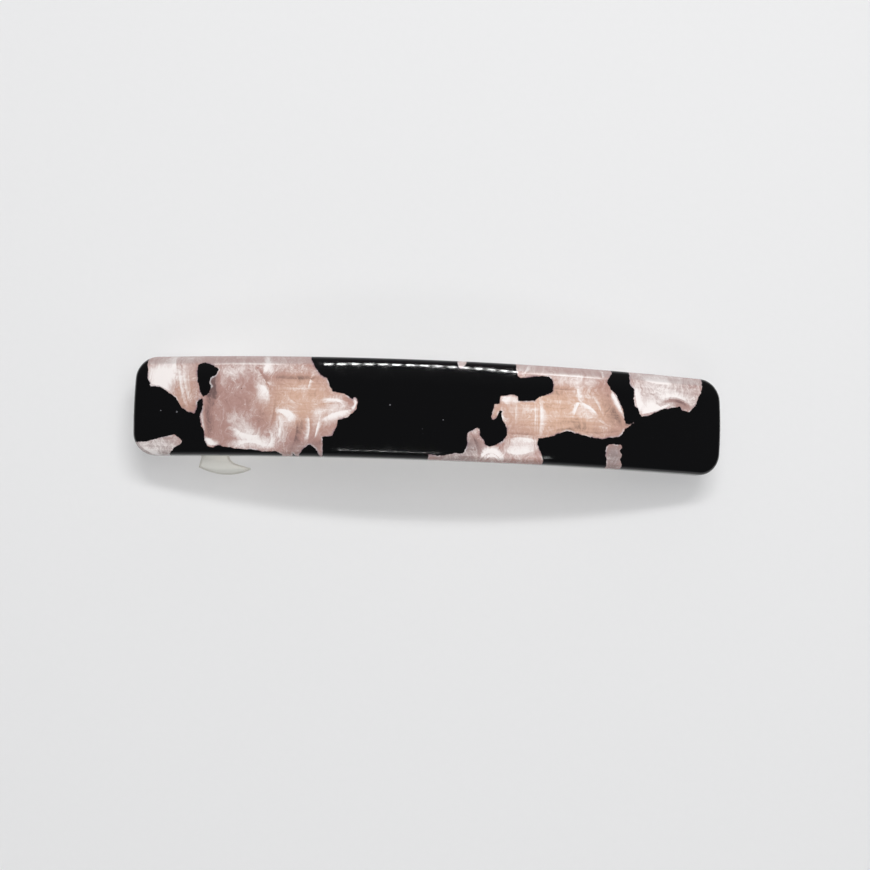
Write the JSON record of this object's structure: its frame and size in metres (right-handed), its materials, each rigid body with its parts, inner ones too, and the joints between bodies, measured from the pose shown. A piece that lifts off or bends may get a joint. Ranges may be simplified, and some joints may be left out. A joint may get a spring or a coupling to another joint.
{
  "type": "hair barrette",
  "caption": "Arched rectangular acetate hair barrette on a sprung steel clip: a hinged lever snaps over two squeezable catch fingers, and a bow spring grips the hair.",
  "frame": {"origin": "on the table, under the middle of the clip", "axes": "+X along the barrette towards the clip's hinge, +Z out of the decorated face, +Y towards the rear finger"},
  "size_m": [0.0872, 0.0176, 0.0157],
  "materials": {
    "acetate": "polished cellulose acetate, black with pearl pink chips",
    "plated_bar": "nickel plated",
    "plated_lever": "nickel plated",
    "catch_steel": "nickel plated spring steel",
    "spring_steel": "tempered strip",
    "pin_steel": "plain bright steel"
  },
  "bodies": {
    "clip_base": {"acetate_plate": "acetate", "base_bar": "plated_bar", "hinge_pin": "pin_steel", "bow_spring": "spring_steel", "catch_saddle": "catch_steel", "catch_rivet": "pin_steel", "mounting_pin_hinge_end": "pin_steel", "mounting_pin_catch_end": "pin_steel"},
    "lever": {"locking_lever": "plated_lever"},
    "rear_finger": {"catch_finger_rear": "catch_steel"},
    "front_finger": {"catch_finger_front": "catch_steel"}
  },
  "joints": [
    {"name": "lever_hinge", "type": "hinge", "parent": "clip_base", "child": "lever", "pos_m": [0.032, 0, 0.0027], "axis": [0, -1, 0], "range_deg": [0, 90]},
    {"name": "rear_finger_bend", "type": "hinge", "parent": "clip_base", "child": "rear_finger", "pos_m": [-0.03137, 0.00145, 0.00695], "axis": [-0.9592, 0, -0.2827], "range_deg": [0, 7], "stiffness_Nm_per_rad": 0.24, "springref_deg": -1.72},
    {"name": "front_finger_bend", "type": "hinge", "parent": "clip_base", "child": "front_finger", "pos_m": [-0.03137, -0.00145, 0.00695], "axis": [0.9592, 0, 0.2827], "range_deg": [0, 7]}
  ],
  "couplings": [
    {"joint": "front_finger_bend", "follows": "rear_finger_bend", "ratio": 1}
  ]
}
